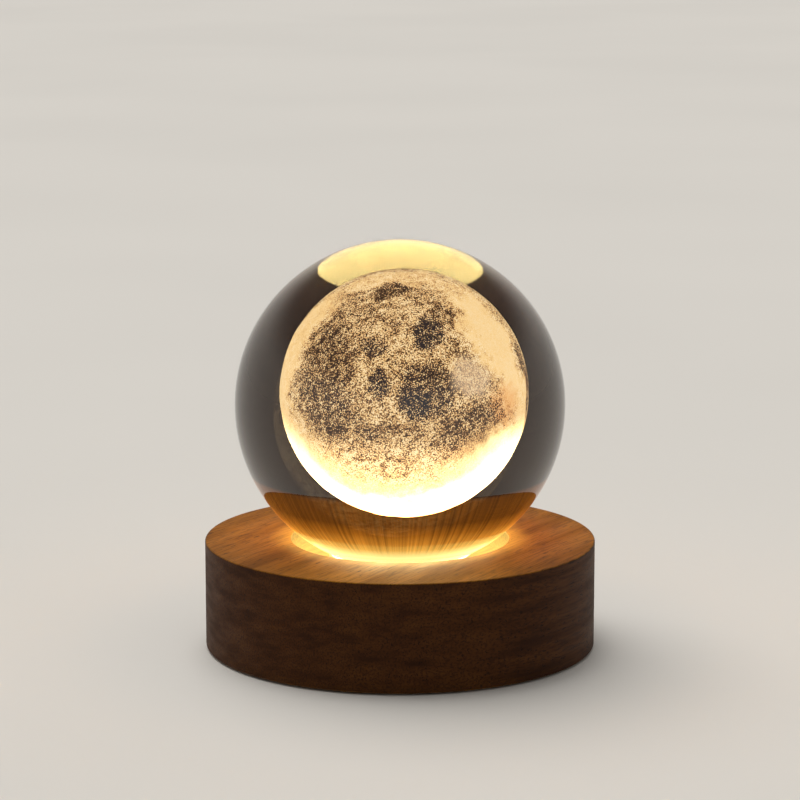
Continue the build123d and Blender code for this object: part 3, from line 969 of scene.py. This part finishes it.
def dress(finish: Finish, *nodes: str) -> None:
    """Give CAD nodes a material.

    Args:
        finish: What they are made of.
        nodes: The nodes' names.
    """
    material = finish.material()
    for node in nodes:
        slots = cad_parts[node].data.materials
        slots.clear()
        slots.append(material)
        LOG.info("%s: %s", node, material.name)


@dataclass(frozen=True)
class Sea:
    """A soft-edged oval on the engraved moon, in degrees, such as a dark plain.

    Longitude 0 faces the front and grows to the viewer's right. Width and height are half those
    of the oval. Depth is its share at the middle, and coolness goes from brown at 0 to blue-black
    at 1.
    """

    longitude: float
    latitude: float
    width: float
    height: float
    tilt: float
    depth: float
    coolness: float

    def cover(self, points: np.ndarray) -> np.ndarray:
        """How much of it lies at each point.

        The point's steps east and north of the oval's middle, turned by the tilt and divided by
        its half width and half height, give a distance that is 1 on the oval's line.

        Args:
            points: Directions from the moon's middle, one a row.

        Returns:
            Shares from 0 to 1.
        """
        lon, turn = np.radians([self.longitude, self.tilt])
        middle = direction(self.longitude, self.latitude)
        east = np.array([math.cos(lon), math.sin(lon), 0.0])
        north = np.cross(middle, east)
        across, up = points @ east, points @ north
        angle = degrees_apart(points, middle) / np.maximum(np.hypot(across, up), 1e-9)
        right = (across * math.cos(turn) + up * math.sin(turn)) * angle / self.width
        over = (up * math.cos(turn) - across * math.sin(turn)) * angle / self.height
        return 1 - ease(np.hypot(right, over), 0.55, 1.2)


FRONT_SEAS = (
    Sea(-42, 79, 11, 8, 21, 0.84, 0.1),
    Sea(38, 69, 11, 11, -52, 0.22, 0.1),
    Sea(19, 46, 10, 12, -5, 0.86, 0.7),
    Sea(13, 42, 5, 6, -3, 0.50, 0.9),
    Sea(45, 56, 8, 11, -59, 0.42, 0.1),
    Sea(55, 49, 7, 12, -87, 0.18, 0.1),
    Sea(34, 36, 7, 7, -9, 0.25, 0.3),
    Sea(-21, 37, 7, 6, 6, 0.52, 0.7),
    Sea(-7, 51, 5, 4, 2, 0.25, 0.4),
    Sea(-15, 15, 7, 11, -7, 0.60, 0.8),
    Sea(13, 13, 19, 18, -3, 0.72, 0.5),
    Sea(6, 5, 8, 10, -1, 0.66, 1.0),
    Sea(22, 19, 9, 9, -4, 0.25, 0.2),
    Sea(-52, 14, 22, 36, 15, 0.44, 0.3),
    Sea(-55, 4, 13, 11, 9, 0.20, 0.5),
    Sea(-39, 4, 9, 11, 7, 0.18, 0.7),
    Sea(-60, 50, 21, 31, 67, 0.24, 0.2),
    Sea(-34, -11, 20, 9, 6, 0.26, 0.3),
    Sea(-16, -11, 11, 6, 3, 0.26, 0.5),
    Sea(42, -12, 24, 15, 10, 0.52, 0.1),
    Sea(37, -25, 15, 9, 22, 0.22, 0.1),
    Sea(9, -11, 19, 8, -2, 0.14, 0.1),
    Sea(-32, 27, 16, 8, 17, 0.12, 0.6),
)

BACK_SEAS = (
    Sea(150, 22, 22, 16, 20, 0.8, 0.6),
    Sea(178, -8, 14, 12, 0, 0.7, 0.8),
    Sea(-160, 30, 18, 20, -15, 0.72, 0.4),
    Sea(-138, -6, 16, 22, 10, 0.6, 0.2),
    Sea(140, -22, 20, 10, -20, 0.5, 0.1),
    Sea(-175, 58, 16, 9, 0, 0.6, 0.2),
)

# Painted limb glow: places near the right, far left and top limbs where the grains are washed out to
# cream.
GLOWING_LIMBS = (
    Sea(76, 30, 20, 46, 0, 1.0, 0.0),
    Sea(88, -8, 13, 30, 0, 0.85, 0.0),
    Sea(-96, 10, 18, 56, 0, 0.9, 0.0),
    Sea(178, 83, 40, 11, 0, 0.6, 0.0),
)

RIM_STRIP = Sea(101, 4, 6, 26, 0, 0.6, 0.1)
HAZE = Sea(42, 17, 15, 13, -8, 0.5, 0.0)
RUST = Sea(66, -1, 16, 12, -10, 0.6, 0.0)


@dataclass
class LitBall:
    """The glass ball and the moon engraved inside it.

    On the moon, lengths without a unit are shares of its radius, waves are to a radius, and
    angles are in degrees, the borders' from the middle of what the painted light from below leaves
    dark.
    """

    glass_steps: int = 84
    moon_steps: int = 112
    crater_count: int = 220
    smallest_crater: float = 0.025
    larger_by: float = 0.13
    full_depth_from: float = 0.08
    crater_depth: float = 0.05 * MM
    crater_bowl: float = 0.8
    crater_rim: float = 0.35
    rim_width: float = 0.18
    rough_depth: float = 0.015 * MM
    rough_waves: float = 5.0
    seed: int = 7
    broad_waves: float = 2.2
    fine_waves: float = 7.0
    sea_shore: tuple[float, float] = (0.018, 0.016)
    glow_shore: tuple[float, float] = (0.05, 0.035)
    mottle_waves: float = 4.0
    small_waves: float = 9.0
    ground: float = 0.19
    ground_spread: tuple[float, float] = (0.06, 0.05)
    cool_reach: float = 1.6
    # Painted light from below: how far it washes the grains out and where it lights the lower side,
    # less at the back.
    washing_out: float = 0.93
    unlit_middle: tuple[float, float] = (-9.0, 17.0)
    washed_border: tuple[float, float] = (42.0, 78.0)
    washed_below: tuple[float, float] = (0.05, 0.35)
    underlight_border: tuple[float, float] = (56.0, 98.0)
    underlight_below: tuple[float, float] = (0.14, 0.74)
    faint_underlight: float = 0.11
    faint_below: tuple[float, float] = (0.24, 0.6)
    back_border: tuple[float, float] = (108.0, 145.0)
    back_sink: tuple[float, float] = (0.25, 0.15)
    back_loss: float = 0.6
    scar: tuple[float, float] = (-5.7, -34.2)
    scar_radius: float = 6.4
    scar_width: float = 1.3
    scar_depth: float = 0.22

    def build(self) -> None:
        """Make both pieces."""
        self.build_glass()
        self.build_moon()

    def build_glass(self) -> None:
        """The ball's outer surface: every direction times the ball's radius."""
        low, high = (np.array(corner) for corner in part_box("crystal_ball"))
        ways, squares = cube_sphere(self.glass_steps)
        points = (low + high) / 2 + ways * (high - low).mean() / 2
        ball = make_object("glass_ball", points, squares, BallGlass())
        stand_for(ball, "crystal_ball", Body.BALL)

    def build_moon(self) -> None:
        """The engraving's surface, roughened by craters, with its dark plains kept as numbers."""
        low, high = (np.array(corner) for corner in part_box("engraved_moon"))
        ways, squares = cube_sphere(self.moon_steps)
        radius = (high - low).mean() / 2 - self.crater_depth
        rough = self.rough_depth * wave_noise(ways, self.rough_waves, self.seed)
        relief = np.minimum(self.craters(ways) + rough, self.crater_depth)
        points = (low + high) / 2 + ways * (radius + relief)[:, None]
        moon = make_object("moon_engraving", points, squares, MoonEngraving())
        stand_for(moon, "engraved_moon", Body.BALL)
        for name, values in self.plains(ways).items():
            keep_values(moon, name, values)

    def craters(self, ways: np.ndarray) -> np.ndarray:
        """Bowls with raised rims at random places.

        Inside a crater the height is the bowl's depth times the square of the distance over its
        radius, less 1. A rim falls off as a bell curve on both sides of its edge. Craters below a
        certain radius are shallower.

        Args:
            ways: Directions from the moon's middle.

        Returns:
            A height for each, in metres.
        """
        draw = np.random.default_rng(self.seed)
        middles = unit(draw.normal(size=(self.crater_count, 3)))
        radii = self.smallest_crater + self.larger_by * draw.random(self.crater_count) ** 4
        height = np.zeros(len(ways))
        for middle, radius in zip(middles, radii):
            away = np.linalg.norm(ways - middle, axis=1) / radius
            bowl = np.where(away < 1, away * away - 1, 0)
            rim = self.crater_rim * np.exp(-((away - 1) / self.rim_width) ** 2)
            depth = self.crater_depth * min(radius / self.full_depth_from, 1)
            height += depth * (bowl * self.crater_bowl + rim)
        return height

    def steps(self, ways: np.ndarray, waves: float, first: int) -> np.ndarray:
        """Smooth random steps in space, one a direction, from three draws numbered from first."""
        draws = [wave_noise(ways, waves, self.seed + first + k) for k in range(3)]
        return np.stack(draws, 1)

    def plains(self, ways: np.ndarray) -> dict[str, np.ndarray]:
        """How dark, cool and hazy each place is, where painted light washes it out, and how strongly
        painted light from below lights it.

        The seas' ovals are looked up at directions shifted by smooth noise, which roughens their
        shores, and are laid over a thin even ground of grains. Grains fade out towards the right,
        the far left and the top limb, where a painted glow lightens the limbs, and towards the lower
        side, which painted light from below washes out.

        Args:
            ways: Directions from the moon's middle.

        Returns:
            A name and one number a direction for each.
        """
        broad, fine = self.steps(ways, self.broad_waves, 1), self.steps(ways, self.fine_waves, 4)
        moved = unit(ways + self.sea_shore[0] * broad + self.sea_shore[1] * fine)
        depth = np.zeros(len(ways))
        cool = np.zeros(len(ways))
        for sea in FRONT_SEAS + BACK_SEAS:
            share = sea.depth * sea.cover(moved)
            depth = 1 - (1 - depth) * (1 - share)
            cool = cool + (sea.coolness - cool) * np.clip(share * self.cool_reach, 0, 1)
        mottle = wave_noise(ways, self.mottle_waves, self.seed + 9)
        small = wave_noise(ways, self.small_waves, self.seed + 10)
        ragged = unit(ways + self.glow_shore[0] * broad + self.glow_shore[1] * fine)
        # Painted limb glow and painted light from below both wash the grains out.
        limb_glow = np.max([glow_patch.depth * glow_patch.cover(ragged) for glow_patch in GLOWING_LIMBS], axis=0)
        # Painted light from below on the lower side.
        lower, painted_underlight = self.lit_from_below(ways, moved, 2 * mottle + small)
        washed_out = np.maximum(limb_glow, lower)
        even = self.ground + self.ground_spread[0] * mottle + self.ground_spread[1] * small
        even = np.clip(even, 0, 1)
        depth = 1 - (1 - depth) * (1 - even)
        depth = depth * (1 - self.washing_out * washed_out)
        depth = np.maximum(depth, RIM_STRIP.depth * RIM_STRIP.cover(moved))
        ring = (degrees_apart(ways, direction(*self.scar)) - self.scar_radius) / self.scar_width
        depth = depth + self.scar_depth * np.exp(-ring ** 2)
        return {
            "sea_depth": np.clip(depth, 0, 1),
            "coolness": np.clip(cool, 0, 1),
            "haze": HAZE.depth * HAZE.cover(moved),
            "rust": RUST.depth * RUST.cover(moved),
            "washed_out": washed_out,
            "painted_underlight": painted_underlight,
        }

    def lit_from_below(self, ways: np.ndarray, moved: np.ndarray,
              ragged: np.ndarray) -> tuple[np.ndarray, np.ndarray]:
        """Where painted light from below washes the lower side out, and how strong that painted
        light is.

        Both rise with the angle from the middle of what stays dark and with the depth below the
        moon's middle. At the back the painted light is weaker.

        Args:
            ways: Directions from the moon's middle.
            moved: The same with roughened shores.
            ragged: Degrees that roughen the border.

        Returns:
            Shares from 0 to 1 for both.
        """
        away = degrees_apart(moved, direction(*self.unlit_middle))
        border = away + ragged
        behind = ease(away, *self.back_border)
        sunk = -moved[:, 2] - self.back_sink[0] * behind
        low, high = self.washed_below
        lower = ease(border, *self.washed_border) * ease(sunk, low, high + self.back_sink[1] * behind)
        strong = (1 - self.back_loss * behind) * ease(border, *self.underlight_border) ** 1.4
        strong = strong * ease(-ways[:, 2], *self.underlight_below)
        return lower, np.maximum(strong, self.faint_underlight * ease(-ways[:, 2], *self.faint_below))


@dataclass
class WoodenStand:
    """The turned disc, its cover, its feet and the light under the ball."""

    ring_lip: float = 17.19 * MM

    def build(self) -> None:
        """Dress every piece of the stand."""
        dress(Beech(), "wooden_base")
        # The seat ring's glow stands in for the lamp's light through the silicone; its extra light
        # to mirrored rays is painted light for the cap.
        dress(Glowing("clear_silicone", tone(240, 232, 214), tone(255, 248, 176), 2.0,
                      painted_cap_boost=73.0, lit_radius=self.ring_lip), "seat_ring")
        dress(Glowing("frosted_plastic", tone(244, 238, 224), tone(255, 240, 180), 14.0, 0.5),
              "light_window")
        dress(Moulded("black_plastic", tone(36, 36, 38), tone(44, 44, 46), 0.55),
              "bottom_cover", "port_insert")
        dress(Moulded("black_rubber", tone(30, 30, 30), tone(38, 37, 36), 0.7, 1500.0, 0.03 * MM),
              "rubber_feet")
        dress(Plated("zinc_screw", tone(196, 196, 192), tone(172, 174, 176), 0.32),
              "cover_screws", "holder_screws", "led_board_screws", "control_board_screws")
        dress(Moulded("white_plastic", tone(232, 232, 226), tone(224, 223, 216), 0.3, 1200.0,
                      0.005 * MM),
              "led_holder", "switch_plunger", "battery_socket", "battery_plug")
        dress(Board("white_board", tone(236, 236, 230), tone(214, 214, 206)), "led_board")
        dress(Glowing("light_chip", tone(248, 214, 110), tone(255, 214, 120), 4.0, 0.4),
              "led_chips", "indicator_led")


@dataclass
class ControlUnit:
    """The sleeve in the back wall with its board, socket, button and charging light."""

    spring_wire: float = 0.25 * MM
    spring_turns: int = 4
    spring_steps: int = 40
    wire_sides: int = 12
    press: float = 0.8 * MM

    def build(self) -> None:
        """Wind the spring and dress every piece of the unit."""
        self.build_spring()
        dress(Board("green_board", tone(22, 92, 46), tone(52, 128, 66)),
              "control_board", "cell_protection_board")
        dress(Moulded("chip_black", tone(34, 34, 36), tone(44, 44, 46), 0.45, 3000.0, 0.01 * MM),
              "charging_chip", "chip_resistors", "usb_socket_tongue", "switch_housing")
        dress(Moulded("ferrite_grey", tone(96, 96, 100), tone(82, 83, 88), 0.6, 3400.0, 0.015 * MM),
              "power_inductor")
        dress(Moulded("ceramic_tan", tone(176, 140, 96), tone(160, 124, 84), 0.4, 2600.0,
                      0.006 * MM), "chip_capacitors")
        dress(Plated("nickel_steel", tone(206, 203, 196), tone(190, 188, 184), 0.26),
              "usb_socket_shell")
        dress(Moulded("button_plastic", tone(52, 52, 54), tone(60, 60, 62), 0.38, 2000.0,
                      0.006 * MM), "power_button")
        dress(ClearRod(), "indicator_light_pipe")

    def build_spring(self) -> None:
        """The button's spring: a wire coil wound in the CAD node's box, with a mesh of its own."""
        low, high = (np.array(corner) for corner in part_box("switch_spring"))
        points, faces = coil(low, high, self.spring_wire, self.spring_turns, self.spring_steps,
                             self.wire_sides)
        finish = Plated("spring_steel", tone(176, 176, 178), tone(150, 151, 154), 0.28)
        spring = make_object("return_spring", points, faces, finish)
        stand_for(spring, "switch_spring", Body.BASE)
        seat = ((low[0] + high[0]) / 2, low[1], (low[2] + high[2]) / 2)
        seat = tuple(float(part) for part in seat)
        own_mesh(spring)


@dataclass
class BatteryPack:
    """The flat cell, its board, tape and leads."""

    foil_waves: tuple[float, float, float] = (900.0, 120.0, 900.0)

    def build(self) -> None:
        """Dress every piece of the pack."""
        dress(Plated("foil_silver", tone(200, 202, 206), tone(184, 187, 192), 0.42,
                     self.foil_waves), "battery_cell")
        dress(Moulded("white_foam", tone(228, 228, 222), tone(214, 214, 208), 0.9, 1600.0,
                      0.12 * MM), "cell_foam_tape")
        dress(Moulded("red_wire", tone(176, 34, 28), tone(158, 28, 24), 0.42, 900.0, 0.01 * MM),
              "led_leads", "battery_leads")


@dataclass
class Studio:
    """Pale floor, soft light and the camera at the photograph's angle."""

    floor_reach: float = 12.0
    floor_steps: int = 24
    camera_distance: float = 0.7263
    camera_elevation: float = 10.60
    aim_height: float = 60.47 * MM
    lens: float = 135.0
    sensor: float = 36.0
    view_reach: float = 50.0
    sun_strength: float = 2.3
    sun_spread: float = 50.0
    sun_turn: tuple[float, float] = (-20.0, -14.0)
    fill: float = 0.38
    pale: Colour = tone(214, 209, 201)
    overhead: Colour = tone(108, 106, 104)
    pale_up_to: float = 12.0
    overhead_from: float = 34.0

    def build(self) -> None:
        """Make the floor, the lights and the camera."""
        self.build_floor()
        self.build_sun()
        self.build_world()
        self.build_camera()

    def build_floor(self) -> None:
        """A level square grid that is finer towards the middle, by the cube of even steps."""
        even = np.linspace(-1, 1, self.floor_steps + 1)
        line = np.sign(even) * np.abs(even) ** 3 * self.floor_reach
        x, y = np.meshgrid(line, line, indexing="ij")
        points = np.stack([x, y, np.zeros_like(x)], -1).reshape(-1, 3)
        faces = grid_squares(np.arange(x.size).reshape(x.shape))
        make_object("studio_floor", points, faces, FloorPaint())

    def build_sun(self) -> None:
        """A wide soft sun from above and behind, which neither glass nor gloss shows."""
        lamp = bpy.data.lights.new("soft_key", "SUN")
        lamp.energy = self.sun_strength
        lamp.angle = math.radians(self.sun_spread)
        key = bpy.data.objects.new("soft_key", lamp)
        key.rotation_euler = (*map(math.radians, self.sun_turn), 0)
        key.visible_transmission = False
        key.visible_glossy = False
        bpy.context.scene.collection.objects.link(key)

    def build_world(self) -> None:
        """A pale surrounding that is duller overhead, over a plain even fill of light."""
        world = Shader("studio", world=True)
        low, high = (math.sin(math.radians(rise)) for rise in (self.pale_up_to, self.overhead_from))
        seen = world.mix(world.span(world.axes()[2], low, high), self.pale, self.overhead)
        rays = (world.light_path(f"Is {kind} Ray") for kind in ("Camera", "Glossy", "Transmission"))
        plain = (self.fill, self.fill, self.fill, 1.0)
        shown = world.mix(world.math(Op.MAXIMUM, *rays), plain, seen)
        world.show(world.node("ShaderNodeBackground", {"Color": shown}))
        bpy.context.scene.world = world.owner

    def build_camera(self) -> None:
        """A long lens in front of the lamp, a little above it."""
        data = bpy.data.cameras.new("photo_camera")
        data.lens = self.lens
        data.sensor_width = self.sensor
        data.clip_end = self.view_reach
        camera = bpy.data.objects.new("photo_camera", data)
        tilt = math.radians(self.camera_elevation)
        back = self.camera_distance * math.cos(tilt)
        up = self.camera_distance * math.sin(tilt)
        camera.location = (0.0, -back, self.aim_height + up)
        camera.rotation_euler = (math.pi / 2 - tilt, 0.0, 0.0)
        bpy.context.scene.collection.objects.link(camera)
        bpy.context.scene.camera = camera
        bpy.context.scene.view_settings.view_transform = "Standard"


def main() -> None:
    """Build every sub-assembly and the studio."""
    logging.basicConfig(level=logging.INFO, format="%(message)s")
    for part in (LitBall(), WoodenStand(), ControlUnit(), BatteryPack(), Studio()):
        LOG.info("building %s", type(part).__name__)
        part.build()


if __name__ == "__main__":
    main()
